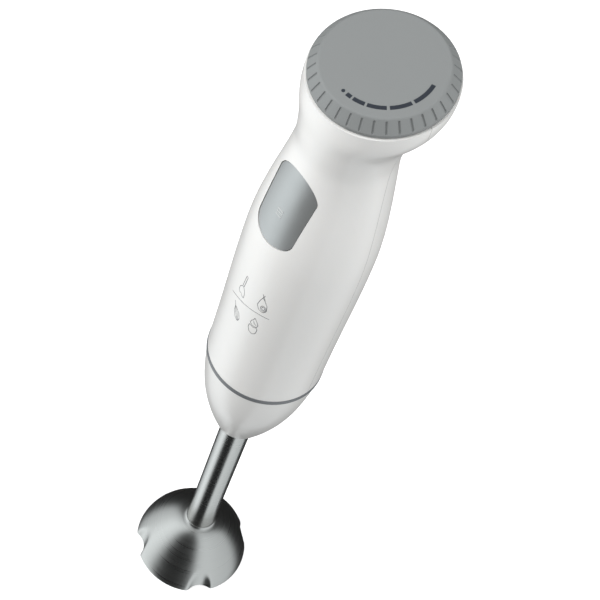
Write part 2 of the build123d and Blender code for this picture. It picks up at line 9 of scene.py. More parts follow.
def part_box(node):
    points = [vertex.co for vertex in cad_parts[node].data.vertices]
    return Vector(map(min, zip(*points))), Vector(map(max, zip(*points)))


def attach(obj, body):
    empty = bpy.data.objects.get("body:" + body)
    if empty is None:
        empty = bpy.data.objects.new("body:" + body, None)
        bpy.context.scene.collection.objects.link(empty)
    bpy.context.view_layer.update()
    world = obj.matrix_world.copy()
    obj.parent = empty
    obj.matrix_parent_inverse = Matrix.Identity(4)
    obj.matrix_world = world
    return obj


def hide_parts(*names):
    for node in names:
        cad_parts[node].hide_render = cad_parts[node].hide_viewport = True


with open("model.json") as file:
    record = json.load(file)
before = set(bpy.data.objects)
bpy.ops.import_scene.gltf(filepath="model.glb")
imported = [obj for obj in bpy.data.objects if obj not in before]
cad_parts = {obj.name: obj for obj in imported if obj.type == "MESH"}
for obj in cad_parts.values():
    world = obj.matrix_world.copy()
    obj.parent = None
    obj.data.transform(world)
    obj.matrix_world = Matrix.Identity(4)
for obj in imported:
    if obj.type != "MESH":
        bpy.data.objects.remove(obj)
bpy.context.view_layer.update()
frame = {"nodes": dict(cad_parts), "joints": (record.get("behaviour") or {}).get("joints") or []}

bl_info = {
    "name": "Stick Blender",
    "version": (1, 0, 0),
    "blender": (4, 5, 0),
    "location": "3D View > Sidebar > Stick Blender",
    "description": "Finishes, printed marks and studio for a stick blender on its packed frame",
    "category": "Object",
}

MM = 0.001
# colour sockets of a mix node
MIX_A, MIX_B, MIX_RESULT = 6, 7, 2
SYMBOL_RADIUS = 28.7 * MM       # radius on which the symbols' distances round the handle are counted
OUTSIDE = 60.0 * MM             # clear of everything, to cast rays in from
GUARD_FLUTES = (-25.0, 65.0, 155.0, 245.0)      # degrees round from the front


# ---- settings ------------------------------------------------------------------------
class ShellColours(bpy.types.PropertyGroup):
    shell: FloatVectorProperty(name="Shell", description="White of the moulded handle and bell",
                               subtype="COLOR", min=0, max=1, default=(0.82, 0.82, 0.805))
    dial: FloatVectorProperty(name="Dial", description="Grey of the speed dial",
                              subtype="COLOR", min=0, max=1, default=(0.225, 0.236, 0.236))
    button: FloatVectorProperty(name="Button", description="Silver paint of the power button",
                                subtype="COLOR", min=0, max=1, default=(0.46, 0.475, 0.475))
    trim: FloatVectorProperty(name="Trim ring", description="Grey of the ring between foot and handle",
                              subtype="COLOR", min=0, max=1, default=(0.16, 0.17, 0.18))
    ink: FloatVectorProperty(name="Ink", description="Dark print on the dial and the handle",
                             subtype="COLOR", min=0, max=1, default=(0.022, 0.026, 0.034))
    steel: FloatVectorProperty(name="Steel", description="Stainless steel of the tube and guard",
                               subtype="COLOR", min=0, max=1, default=(0.58, 0.575, 0.56))


class MarkSizes(bpy.types.PropertyGroup):
    scale_radius: FloatProperty(name="Scale radius", description="Middle line of the printed speed scale",
                                unit="LENGTH", default=19.8 * MM)
    scale_width: FloatProperty(name="Scale width", description="Width of the scale's bars",
                               unit="LENGTH", default=1.7 * MM)
    ink_height: FloatProperty(name="Ink height", description="How far the print stands off the plastic",
                              unit="LENGTH", default=0.04 * MM)
    stroke: FloatProperty(name="Stroke", description="Line width of the symbols on the handle",
                          unit="LENGTH", default=0.36 * MM)
    rib_length: FloatProperty(name="Rib length", description="Length of a finger rib on the button",
                              unit="LENGTH", default=3.4 * MM)
    rib_count: IntProperty(name="Rib count", description="Finger ribs on the button", default=3, min=1, max=9)


class GuardSizes(bpy.types.PropertyGroup):
    flute_radius: FloatProperty(name="Flute radius", description="Hollow of a flute across its run",
                                unit="LENGTH", default=9.0 * MM)
    flute_depth: FloatProperty(name="Flute depth", description="How far a flute pulls the rim in",
                               unit="LENGTH", default=3.8 * MM)
    flute_lean: FloatProperty(name="Flute lean", description="How far a flute leans to the tube",
                              subtype="ANGLE", default=math.radians(4.4))
    flute_softness: FloatProperty(name="Flute softness", description="Width of a flute's rounded shoulders",
                                  unit="LENGTH", default=1.3 * MM)


class StudioSizes(bpy.types.PropertyGroup):
    key_power: FloatProperty(name="Key light", description="Power of the large soft light at the front left",
                             unit="POWER", default=14.0)
    fill_power: FloatProperty(name="Fill light", description="Power of the soft light at the rear right",
                              unit="POWER", default=8.5)
    top_power: FloatProperty(name="Top light", description="Power of the soft light overhead",
                             unit="POWER", default=3.0)
    room: FloatProperty(name="Room light", description="Brightness of the plain room around the object",
                        default=0.56, min=0)
    lens: FloatProperty(name="Lens", description="Focal length of the camera in millimetres",
                        default=81.6, min=1)


# ---- small helpers -------------------------------------------------------------------
def pick(*objects):
    """Selects just these objects, the last one active."""
    bpy.ops.object.select_all(action="DESELECT")
    for obj in objects:
        obj.select_set(True)
    bpy.context.view_layer.objects.active = objects[-1]


def settle(obj, matrix=None):
    """Puts the object's place into its mesh, by way of an extra placing matrix if one is given."""
    if matrix is not None:
        obj.matrix_world = matrix @ obj.matrix_world
    pick(obj)
    bpy.ops.object.transform_apply(location=True, rotation=True, scale=True)
    return obj


def joint(name):
    for item in frame["joints"]:
        if item["name"] == name:
            return item
    raise RuntimeError("the record has no joint named " + name)


def dial_frame():
    """The dial's face: a matrix whose Z is the dial's axis and whose -Y points to the front."""
    turn = joint("dial_turn")
    axis = Vector(turn["axis"]).normalized()
    base = Vector(turn["pos_m"])
    height = max((v.co - base).dot(axis) for v in frame["nodes"]["speed_dial"].data.vertices)
    across = Vector((1, 0, 0))
    back = axis.cross(across)
    place = Matrix((across, back, axis)).transposed().to_4x4()
    place.translation = base + axis * height
    return place


def on_shell(node, arc, z, lift=0.0):
    """A point on the node's outside, arc metres round from the front at height z."""
    turn = arc / SYMBOL_RADIUS
    out = Vector((math.sin(turn), -math.cos(turn), 0))
    hit, point, normal, _ = frame["nodes"][node].ray_cast(out * OUTSIDE + Vector((0, 0, z)), -out)
    if not hit:
        raise RuntimeError("no surface of %s at height %.4f" % (node, z))
    return point + normal * lift


# ---- shader groups -------------------------------------------------------------------
def new_group(name, inputs, outputs):
    group = bpy.data.node_groups.new(name, "ShaderNodeTree")
    for label, kind, value in inputs:
        socket = group.interface.new_socket(name=label, in_out="INPUT", socket_type="NodeSocket" + kind)
        if value is not None:
            socket.default_value = value
    for label, kind in outputs:
        group.interface.new_socket(name=label, in_out="OUTPUT", socket_type="NodeSocket" + kind)
    return group, group.nodes.new("NodeGroupInput"), group.nodes.new("NodeGroupOutput")


def add(tree, kind, **settings):
    node = tree.nodes.new("ShaderNode" + kind)
    for key, value in settings.items():
        setattr(node, key, value)
    return node


def wire(tree, source, target):
    tree.links.new(source, target)


def moulded_grain():
    """Fine spark-eroded grain and slow flow marks, as on a moulded part."""
    if "moulded_grain" in bpy.data.node_groups:
        return bpy.data.node_groups["moulded_grain"]
    group, given, result = new_group(
        "moulded_grain",
        [("Vector", "Vector", None), ("Grain Scale", "Float", 5000.0), ("Flow Scale", "Float", 60.0)],
        [("Height", "Float"), ("Flow", "Float")])
    fine = add(group, "TexNoise")
    fine.inputs["Detail"].default_value = 3.0
    slow = add(group, "TexNoise")
    slow.inputs["Detail"].default_value = 2.0
    for texture, label in ((fine, "Grain Scale"), (slow, "Flow Scale")):
        wire(group, given.outputs["Vector"], texture.inputs["Vector"])
        wire(group, given.outputs[label], texture.inputs["Scale"])
    wire(group, fine.outputs["Fac"], result.inputs["Height"])
    wire(group, slow.outputs["Fac"], result.inputs["Flow"])
    return group


def handling_scuffs():
    """Sparse hairline scuffs and dulled patches left by handling."""
    if "handling_scuffs" in bpy.data.node_groups:
        return bpy.data.node_groups["handling_scuffs"]
    group, given, result = new_group(
        "handling_scuffs",
        [("Vector", "Vector", None), ("Patch Scale", "Float", 90.0), ("Hair Scale", "Float", 700.0)],
        [("Mask", "Float")])
    stretch = add(group, "Mapping")
    stretch.inputs["Scale"].default_value = (1.0, 1.0, 0.16)
    stretch.inputs["Rotation"].default_value = (0.5, 0.3, 0.2)
    hair = add(group, "TexNoise")
    hair.inputs["Detail"].default_value = 4.0
    patch = add(group, "TexNoise")
    thin = add(group, "MapRange")
    thin.inputs["From Min"].default_value = 0.62
    thin.inputs["From Max"].default_value = 0.74
    worn = add(group, "MapRange")
    worn.inputs["From Min"].default_value = 0.5
    worn.inputs["From Max"].default_value = 0.72
    both = add(group, "Math", operation="MULTIPLY")
    wire(group, given.outputs["Vector"], stretch.inputs["Vector"])
    wire(group, stretch.outputs["Vector"], hair.inputs["Vector"])
    wire(group, given.outputs["Hair Scale"], hair.inputs["Scale"])
    wire(group, given.outputs["Vector"], patch.inputs["Vector"])
    wire(group, given.outputs["Patch Scale"], patch.inputs["Scale"])
    wire(group, hair.outputs["Fac"], thin.inputs["Value"])
    wire(group, patch.outputs["Fac"], worn.inputs["Value"])
    wire(group, thin.outputs["Result"], both.inputs[0])
    wire(group, worn.outputs["Result"], both.inputs[1])
    wire(group, both.outputs["Value"], result.inputs["Mask"])
    return group


def turned_lines():
    """Fine lines that run round the Z axis, as a belt leaves on turned or spun steel."""
    if "turned_lines" in bpy.data.node_groups:
        return bpy.data.node_groups["turned_lines"]
    group, given, result = new_group(
        "turned_lines",
        [("Vector", "Vector", None), ("Line Scale", "Float", 5200.0), ("Round Scale", "Float", 45.0)],
        [("Height", "Float"), ("Streak", "Float")])
    parts = add(group, "SeparateXYZ")
    flat = add(group, "CombineXYZ")
    radius = add(group, "VectorMath", operation="LENGTH")
    along = add(group, "Math", operation="SUBTRACT")
    line = add(group, "Math", operation="MULTIPLY")
    side_x = add(group, "Math", operation="MULTIPLY")
    side_y = add(group, "Math", operation="MULTIPLY")
    lines_at = add(group, "CombineXYZ")
    wire(group, given.outputs["Vector"], parts.inputs["Vector"])
    wire(group, parts.outputs["X"], flat.inputs["X"])
    wire(group, parts.outputs["Y"], flat.inputs["Y"])
    wire(group, flat.outputs["Vector"], radius.inputs[0])
    wire(group, parts.outputs["Z"], along.inputs[0])
    wire(group, radius.outputs["Value"], along.inputs[1])
    wire(group, along.outputs["Value"], line.inputs[0])
    wire(group, given.outputs["Line Scale"], line.inputs[1])
    for node, axis in ((side_x, "X"), (side_y, "Y")):
        wire(group, parts.outputs[axis], node.inputs[0])
        wire(group, given.outputs["Round Scale"], node.inputs[1])
    wire(group, side_x.outputs["Value"], lines_at.inputs["X"])
    wire(group, side_y.outputs["Value"], lines_at.inputs["Y"])
    wire(group, line.outputs["Value"], lines_at.inputs["Z"])
    fine = add(group, "TexNoise")
    fine.inputs["Scale"].default_value = 1.0
    fine.inputs["Detail"].default_value = 3.0
    fine.inputs["Roughness"].default_value = 0.65
    wire(group, lines_at.outputs["Vector"], fine.inputs["Vector"])
    broad = add(group, "TexNoise")
    broad.inputs["Scale"].default_value = 0.22
    broad.inputs["Detail"].default_value = 2.0
    wire(group, lines_at.outputs["Vector"], broad.inputs["Vector"])
    wire(group, fine.outputs["Fac"], result.inputs["Height"])
    wire(group, broad.outputs["Fac"], result.inputs["Streak"])
    return group


def seam_line():
    """A narrow band about one plane across Y, where two mouldings meet."""
    if "seam_line" in bpy.data.node_groups:
        return bpy.data.node_groups["seam_line"]
    group, given, result = new_group(
        "seam_line",
        [("Vector", "Vector", None), ("Seam Plane", "Float", 0.004), ("Width", "Float", 0.00012)],
        [("Mask", "Float")])
    parts = add(group, "SeparateXYZ")
    offset = add(group, "Math", operation="SUBTRACT")
    size = add(group, "Math", operation="ABSOLUTE")
    inside = add(group, "Math", operation="LESS_THAN")
    wire(group, given.outputs["Vector"], parts.inputs["Vector"])
    wire(group, parts.outputs["Y"], offset.inputs[0])
    wire(group, given.outputs["Seam Plane"], offset.inputs[1])
    wire(group, offset.outputs["Value"], size.inputs[0])
    wire(group, size.outputs["Value"], inside.inputs[0])
    wire(group, given.outputs["Width"], inside.inputs[1])
    wire(group, inside.outputs["Value"], result.inputs["Mask"])
    return group


# ---- materials -----------------------------------------------------------------------
def new_material(name):
    material = bpy.data.materials.new(name)
    material.use_nodes = True
    tree = material.node_tree
    shader = tree.nodes["Principled BSDF"]
    place = add(tree, "TexCoord")
    return material, tree, shader, place.outputs["Object"]


def use_group(tree, group, place, **values):
    node = tree.nodes.new("ShaderNodeGroup")
    node.node_tree = group
    wire(tree, place, node.inputs["Vector"])
    for key, value in values.items():
        node.inputs[key.replace("_", " ").title()].default_value = value
    return node


def spread(tree, source, low, high):
    """Stretches the middle of a 0 to 1 value to run from low to high."""
    ramp = add(tree, "MapRange")
    ramp.inputs["From Min"].default_value = 0.3
    ramp.inputs["From Max"].default_value = 0.7
    ramp.inputs["To Min"].default_value = low
    ramp.inputs["To Max"].default_value = high
    wire(tree, source, ramp.inputs["Value"])
    return ramp.outputs["Result"]


def gloss(tree, shader, source, wear, low, high, scuffed):
    """Roughness from low to high by a 0 to 1 value, and duller by scuffed where the surface is worn."""
    level = spread(tree, source, low, high)
    dull = add(tree, "Math", operation="MULTIPLY_ADD")
    dull.inputs[1].default_value = scuffed
    wire(tree, wear.outputs["Mask"], dull.inputs[0])
    wire(tree, level, dull.inputs[2])
    wire(tree, dull.outputs["Value"], shader.inputs["Roughness"])


def shade(tree, mask, first, second, target):
    """Feeds a blend of two colours into a colour socket."""
    mix = add(tree, "Mix", data_type="RGBA")
    mix.inputs[MIX_A].default_value = (*first, 1.0)
    mix.inputs[MIX_B].default_value = (*second, 1.0)
    wire(tree, mask, mix.inputs["Factor"])
    wire(tree, mix.outputs[MIX_RESULT], target)


def relief(tree, shader, height, depth):
    """Bump of a depth from a 0 to 1 height."""
    bump = add(tree, "Bump")
    bump.inputs["Distance"].default_value = depth
    bump.inputs["Strength"].default_value = 1.0
    wire(tree, height, bump.inputs["Height"])
    wire(tree, bump.outputs["Normal"], shader.inputs["Normal"])


def scaled(colour, share):
    return tuple(min(1.0, c * share) for c in colour)


def plastic(name, colour, rough, grain=5000.0, depth=0.004 * MM, coat=0.0, tone=0.95):
    """Moulded plastic: grain in the surface, slow flow tone, scuffs that dull the gloss."""
    material, tree, shader, place = new_material(name)
    skin = use_group(tree, moulded_grain(), place, grain_scale=grain)
    wear = use_group(tree, handling_scuffs(), place)
    shade(tree, skin.outputs["Flow"], colour, scaled(colour, tone), shader.inputs["Base Color"])
    gloss(tree, shader, skin.outputs["Flow"], wear, rough - 0.03, rough + 0.04, 0.12)
    shader.inputs["Coat Weight"].default_value = coat
    shader.inputs["Coat Roughness"].default_value = 0.12
    relief(tree, shader, skin.outputs["Height"], depth)
    return material


def shell_plastic(name, colour):
    """The handle's white: satin, slightly translucent, with the parting line of its two halves."""
    material, tree, shader, place = new_material(name)
    skin = use_group(tree, moulded_grain(), place, grain_scale=3600.0, flow_scale=34.0)
    wear = use_group(tree, handling_scuffs(), place)
    seam = use_group(tree, seam_line(), place, seam_plane=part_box("rear_housing")[0].y, width=0.09 * MM)
    line = add(tree, "Mix", data_type="RGBA")
    line.inputs[MIX_B].default_value = (*scaled(colour, 0.42), 1.0)
    shade(tree, skin.outputs["Flow"], colour, scaled(colour, 0.97), line.inputs[MIX_A])
    wire(tree, seam.outputs["Mask"], line.inputs["Factor"])
    wire(tree, line.outputs[MIX_RESULT], shader.inputs["Base Color"])
    gloss(tree, shader, skin.outputs["Flow"], wear, 0.30, 0.36, 0.1)
    shader.inputs["Coat Weight"].default_value = 0.25
    shader.inputs["Coat Roughness"].default_value = 0.16
    shader.inputs["Subsurface Weight"].default_value = 0.08
    shader.inputs["Subsurface Radius"].default_value = (0.002, 0.0018, 0.0016)
    relief(tree, shader, skin.outputs["Height"], 0.003 * MM)
    return material


def silver_paint(name, colour):
    """Metallic paint over plastic: fine flake under a satin lacquer."""
    material, tree, shader, place = new_material(name)
    skin = use_group(tree, moulded_grain(), place, grain_scale=9000.0, flow_scale=150.0)
    wear = use_group(tree, handling_scuffs(), place, patch_scale=160.0)
    shade(tree, skin.outputs["Height"], scaled(colour, 0.9), scaled(colour, 1.1),
          shader.inputs["Base Color"])
    shader.inputs["Metallic"].default_value = 0.65
    gloss(tree, shader, skin.outputs["Flow"], wear, 0.30, 0.36, 0.15)
    shader.inputs["Coat Weight"].default_value = 0.3
    shader.inputs["Coat Roughness"].default_value = 0.2
    relief(tree, shader, skin.outputs["Height"], 0.002 * MM)
    return material


def brushed_steel(name, colour, rough, line_scale, depth):
    """Stainless steel with fine lines round the axis."""
    material, tree, shader, place = new_material(name)
    lines = use_group(tree, turned_lines(), place, line_scale=line_scale)
    wear = use_group(tree, handling_scuffs(), place, hair_scale=1100.0)
    shade(tree, lines.outputs["Streak"], scaled(colour, 0.94), scaled(colour, 1.06),
          shader.inputs["Base Color"])
    shader.inputs["Metallic"].default_value = 1.0
    gloss(tree, shader, lines.outputs["Streak"], wear, rough - 0.04, rough + 0.05, 0.12)
    relief(tree, shader, lines.outputs["Height"], depth)
    return material


def metal(name, colour, rough, grain=2500.0, depth=0.002 * MM):
    """Plain worked metal: fine tooth, patchy gloss and a little handling wear."""
    material, tree, shader, place = new_material(name)
    skin = use_group(tree, moulded_grain(), place, grain_scale=grain, flow_scale=260.0)
    wear = use_group(tree, handling_scuffs(), place, patch_scale=300.0)
    shade(tree, skin.outputs["Flow"], colour, scaled(colour, 0.82), shader.inputs["Base Color"])
    shader.inputs["Metallic"].default_value = 1.0
    gloss(tree, shader, skin.outputs["Flow"], wear, rough - 0.05, rough + 0.07, 0.15)
    relief(tree, shader, skin.outputs["Height"], depth)
    return material


def printed_ink(name, colour):
    """Screen print: slightly uneven cover, a little glossier than the plastic."""
    material, tree, shader, place = new_material(name)
    skin = use_group(tree, moulded_grain(), place, grain_scale=4000.0, flow_scale=900.0)
    shade(tree, skin.outputs["Flow"], colour, scaled(colour, 1.5), shader.inputs["Base Color"])
    wire(tree, spread(tree, skin.outputs["Height"], 0.36, 0.5), shader.inputs["Roughness"])
    relief(tree, shader, skin.outputs["Height"], 0.002 * MM)
    return material


def finish(material, *names):
    for name in names:
        for place in frame["nodes"][name].material_slots:
            place.material = material


# ---- finishes of the frame's own parts -----------------------------------------------
class STICKBLENDER_OT_shell(bpy.types.Operator):
    """Give the handle, the bell, the trim ring and the cord bush their finishes"""
    bl_idname = "stick_blender.shell"
    bl_label = "Shell Finish"

    def execute(self, context):
        colours = context.scene.stick_blender_colours
        finish(shell_plastic("white_shell", colours.shell), "front_housing", "rear_housing")
        finish(plastic("white_bell", colours.shell, 0.32, grain=3600.0, depth=0.003 * MM, coat=0.25,
                       tone=0.97), "foot_bell")
        finish(plastic("trim_grey", colours.trim, 0.38), "trim_ring")
        finish(plastic("bush_rubber", (0.035, 0.035, 0.037), 0.62, grain=2600.0, depth=0.012 * MM),
               "cord_bush")
        return {"FINISHED"}


class STICKBLENDER_OT_dial(bpy.types.Operator):
    """Give the speed dial its grey and its works their finishes"""
    bl_idname = "stick_blender.dial"
    bl_label = "Dial Finish"

    def execute(self, context):
        colours = context.scene.stick_blender_colours
        finish(plastic("dial_grey", colours.dial, 0.42, grain=3000.0, depth=0.007 * MM, tone=0.96),
               "speed_dial")
        finish(metal("spindle_steel", (0.5, 0.5, 0.5), 0.35), "dial_spindle")
        finish(metal("nut_plated", (0.62, 0.6, 0.55), 0.3), "sensor_nut")
        finish(plastic("sensor_blue", (0.03, 0.09, 0.22), 0.45), "dial_sensor")
        return {"FINISHED"}


class STICKBLENDER_OT_button(bpy.types.Operator):
    """Give the power button its silver paint and its works their finishes"""
    bl_idname = "stick_blender.button"
    bl_label = "Button Finish"

    def execute(self, context):
        colours = context.scene.stick_blender_colours
        finish(silver_paint("button_silver", colours.button), "power_button")
        finish(metal("spring_steel", (0.42, 0.41, 0.4), 0.3), "button_spring")
        finish(plastic("switch_black", (0.02, 0.02, 0.022), 0.5), "microswitch")
        return {"FINISHED"}


class STICKBLENDER_OT_foot(bpy.types.Operator):
    """Give the tube, the guard and the blade their steel"""
    bl_idname = "stick_blender.foot"
    bl_label = "Foot Finish"

    def execute(self, context):
        colours = context.scene.stick_blender_colours
        finish(brushed_steel("tube_steel", colours.steel, 0.24, 5200.0, 0.006 * MM), "shaft_tube")
        finish(brushed_steel("guard_steel", colours.steel, 0.30, 3800.0, 0.008 * MM), "blade_guard")
        finish(brushed_steel("blade_steel", (0.64, 0.635, 0.62), 0.2, 2600.0, 0.004 * MM), "blade")
        finish(metal("hub_steel", (0.55, 0.545, 0.53), 0.28), "blade_hub", "blade_screw")
        finish(metal("shaft_steel", (0.6, 0.595, 0.58), 0.22), "drive_shaft")
        finish(metal("bush_bronze", (0.46, 0.27, 0.12), 0.4), "upper_bush", "lower_bush")
        finish(plastic("seal_rubber", (0.03, 0.03, 0.032), 0.6, grain=2600.0, depth=0.01 * MM), "shaft_seal")
        finish(plastic("carrier_nylon", (0.42, 0.42, 0.41), 0.45), "foot_carrier")
        finish(plastic("coupling_nylon", (0.03, 0.03, 0.032), 0.48), "foot_coupling")
        return {"FINISHED"}


def soft_min(a, b, width):
    """The lesser of two values, blended round over a width."""
    share = min(max(0.5 + 0.5 * (b - a) / width, 0.0), 1.0)
    return b + (a - b) * share - width * share * (1 - share)


class STICKBLENDER_OT_guard(bpy.types.Operator):
    """Model the pressed steel guard: a dome, four soft flutes, a collar on the tube and a rounded rim"""
    bl_idname = "stick_blender.guard"
    bl_label = "Guard"

    # the collar above the dome: radius beyond the tube, rise above the dome's last ring, in millimetres
    collar = ((1.3, 0.3), (0.8, 0.55), (0.5, 0.9), (0.36, 1.3))
    ring_count = 30
    rim_lift = 0.12 * MM        # room below for the rim's rounding
    collar_height = 1.9 * MM

    def profile(self):
        """Radius and height up the dome, read between two flutes of the frame's guard, then up the collar."""
        low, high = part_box("blade_guard")
        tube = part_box("shaft_tube")[1].x
        foot_z = low.z + self.rim_lift
        rise = high.z - self.collar_height - low.z - 0.4 * MM
        turn = math.radians(GUARD_FLUTES[0] + 45)
        out = Vector((math.sin(turn), -math.cos(turn), 0))
        rings = []
        for i in range(self.ring_count):
            z = foot_z + rise * math.sin(math.pi / 2 * i / (self.ring_count - 1))
            hit, point, _, _ = frame["nodes"]["blade_guard"].ray_cast(out * OUTSIDE + Vector((0, 0, z)), -out)
            if not hit:
                raise RuntimeError("the guard has no side at height %.4f" % z)
            rings.append((point.xy.length, z))
        top = rings[-1][1]
        return rings + [(tube + more * MM, top + up * MM) for more, up in self.collar]

    def press_flutes(self, mesh, rim):
        """Pulls the wall in along each flute, with soft shoulders."""
        sizes = bpy.context.scene.stick_blender_guard
        middle = rim - sizes.flute_depth + sizes.flute_radius
        for vertex in mesh.vertices:
            x, y, z = vertex.co
            for turn in GUARD_FLUTES:
                a = math.radians(turn)
                aside = x * math.cos(a) + y * math.sin(a)
                out = x * math.sin(a) - y * math.cos(a)
                if out < 0 or abs(aside) > sizes.flute_radius * 0.999:
                    continue
                hollow = math.sqrt(sizes.flute_radius ** 2 - aside ** 2)
                wall = middle - z * math.tan(sizes.flute_lean) - hollow
                out = soft_min(out, wall, sizes.flute_softness)
                x = aside * math.cos(a) + out * math.sin(a)
                y = aside * math.sin(a) - out * math.cos(a)
            vertex.co = (x, y, z)
        mesh.update()

    def execute(self, context):
        rings = self.profile()
        bpy.ops.object.select_all(action="DESELECT")
        bpy.ops.mesh.primitive_circle_add(vertices=192, radius=rings[0][0], location=(0, 0, rings[0][1]))
        guard = bpy.context.active_object
        guard.name = "pressed_guard"
        settle(guard)
        bpy.ops.object.mode_set(mode="EDIT")
        bpy.ops.mesh.select_all(action="SELECT")
        for (r0, z0), (r1, z1) in zip(rings, rings[1:]):
            bpy.ops.mesh.extrude_region_move(TRANSFORM_OT_translate={"value": (0, 0, z1 - z0)})
            bpy.ops.transform.resize(value=(r1 / r0, r1 / r0, 1), center_override=(0, 0, z1))
        bpy.ops.mesh.select_all(action="SELECT")
        bpy.ops.mesh.normals_make_consistent(inside=False)
        bpy.ops.object.mode_set(mode="OBJECT")
        self.press_flutes(guard.data, rings[0][0])
        pick(guard)
        wall = guard.modifiers.new("wall", "SOLIDIFY")
        wall.thickness = 1.0 * MM
        wall.offset = -1
        wall.use_even_offset = True
        bpy.ops.object.modifier_apply(modifier="wall")
        roll = guard.modifiers.new("roll", "BEVEL")
        roll.width = 0.32 * MM
        roll.segments = 3
        roll.limit_method = "ANGLE"
        roll.angle_limit = math.radians(50)
        bpy.ops.object.modifier_apply(modifier="roll")
        bpy.ops.object.shade_smooth_by_angle(angle=math.radians(50))
        guard.data.materials.clear()
        guard.data.materials.append(bpy.data.materials["guard_steel"])
        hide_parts("blade_guard")
        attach(guard, "foot")
        return {"FINISHED"}


class STICKBLENDER_OT_works(bpy.types.Operator):
    """Give the motor, the board and the moulded inner parts their finishes"""
    bl_idname = "stick_blender.works"
    bl_label = "Works Finish"

    def execute(self, context):
        finish(plastic("inner_white", (0.68, 0.68, 0.66), 0.5), "head_deck", "button_guide", "bayonet_ring",
               "motor_cradle")
        finish(plastic("cap_nylon", (0.05, 0.05, 0.052), 0.5), "motor_end_cap")
        finish(plastic("fan_nylon", (0.6, 0.6, 0.57), 0.45), "cooling_fan", "motor_coupling")
        finish(plastic("mount_rubber", (0.03, 0.03, 0.03), 0.68, grain=2200.0, depth=0.012 * MM),
               "lower_motor_mount", "upper_motor_mount", "socket_seal")
        finish(metal("can_plated", (0.56, 0.55, 0.5), 0.34), "motor_can", "housing_screws")
        finish(metal("core_laminated", (0.3, 0.29, 0.28), 0.45), "armature_core")
        finish(metal("winding_copper", (0.62, 0.26, 0.1), 0.36, grain=1800.0, depth=0.03 * MM),
               "armature_windings")
        finish(metal("commutator_copper", (0.66, 0.3, 0.14), 0.28), "commutator")
        finish(metal("tube_brass", (0.62, 0.44, 0.16), 0.32), "brush_tubes")
        finish(metal("bearing_bronze", (0.45, 0.27, 0.13), 0.42), "lower_bearing", "upper_bearing")
        finish(metal("rotor_shaft", (0.58, 0.57, 0.56), 0.22), "motor_shaft")
        finish(metal("sink_aluminium", (0.62, 0.63, 0.64), 0.38), "heat_sink")
        finish(plastic("magnet_ferrite", (0.05, 0.05, 0.052), 0.62), "magnets")
        finish(plastic("brush_carbon", (0.02, 0.02, 0.02), 0.55), "carbon_brushes")
        finish(plastic("board_green", (0.02, 0.14, 0.05), 0.4), "circuit_board")
        finish(plastic("capacitor_blue", (0.05, 0.12, 0.35), 0.4), "capacitor")
        return {"FINISHED"}


# ---- printed scale on the dial -------------------------------------------------------
class STICKBLENDER_OT_dial_scale(bpy.types.Operator):
    """Model the printed speed scale: a dot and five bars that grow longer round the dial's face"""
    bl_idname = "stick_blender.dial_scale"
    bl_label = "Dial Scale"

    # each bar from and to, degrees round from the front
    bars = ((9.2, 15.6), (18.0, 31.8), (34.3, 55.2), (58.4, 82.5), (85.6, 116.0))

    def bar(self, start, end, sizes):
        bpy.ops.object.select_all(action="DESELECT")
        bpy.ops.mesh.primitive_plane_add(size=1.0, location=(0, -sizes.scale_radius, 0),
                                         rotation=(0, math.pi / 2, 0))
        bar = bpy.context.active_object
        bar.scale = (sizes.ink_height * 2, sizes.scale_width, 1)
        settle(bar)
        settle(bar, Matrix.Rotation(math.radians(start), 4, "Z"))
        bpy.ops.object.mode_set(mode="EDIT")
        bpy.ops.mesh.select_all(action="SELECT")
        steps = max(3, round((end - start) / 1.5))
        bpy.ops.mesh.spin(steps=steps, dupli=False, angle=-math.radians(end - start), center=(0, 0, 0),
                          axis=(0, 0, 1))
        bpy.ops.mesh.select_all(action="SELECT")
        bpy.ops.mesh.normals_make_consistent(inside=False)
        bpy.ops.object.mode_set(mode="OBJECT")
        return bar

    def execute(self, context):
        sizes = context.scene.stick_blender_marks
        pieces = [self.bar(start, end, sizes) for start, end in self.bars]
        turn = math.radians(3.9)
        bpy.ops.object.select_all(action="DESELECT")
        bpy.ops.mesh.primitive_cylinder_add(
            vertices=32, radius=sizes.scale_width * 0.44, depth=sizes.ink_height * 2,
            location=(sizes.scale_radius * math.sin(turn), -sizes.scale_radius * math.cos(turn), 0))
        dot = bpy.context.active_object
        bpy.ops.object.mode_set(mode="EDIT")
        bpy.ops.mesh.select_all(action="SELECT")
        bpy.ops.mesh.bevel(offset=sizes.ink_height * 0.4, segments=2, affect="EDGES")
        bpy.ops.object.mode_set(mode="OBJECT")
        pieces.append(settle(dot))
        pick(*pieces)
        bpy.ops.object.join()
        scale = bpy.context.active_object
        scale.name = "dial_scale"
        settle(scale, dial_frame())
        scale.data.materials.clear()
        scale.data.materials.append(printed_ink("dial_ink", context.scene.stick_blender_colours.ink))
        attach(scale, "dial")
        return {"FINISHED"}


# ---- symbols on the handle -----------------------------------------------------------
def ring_points(x, z, rx, rz, lean=0.0, count=12):
    """Points round an oval, leaning by some degrees."""
    tilt = math.radians(lean)
    points = []
    for i in range(count):
        a = 2 * math.pi * i / count
        u, v = rx * math.cos(a), rz * math.sin(a)
        points.append((x + u * math.cos(tilt) - v * math.sin(tilt),
                       z + u * math.sin(tilt) + v * math.cos(tilt)))
    return points


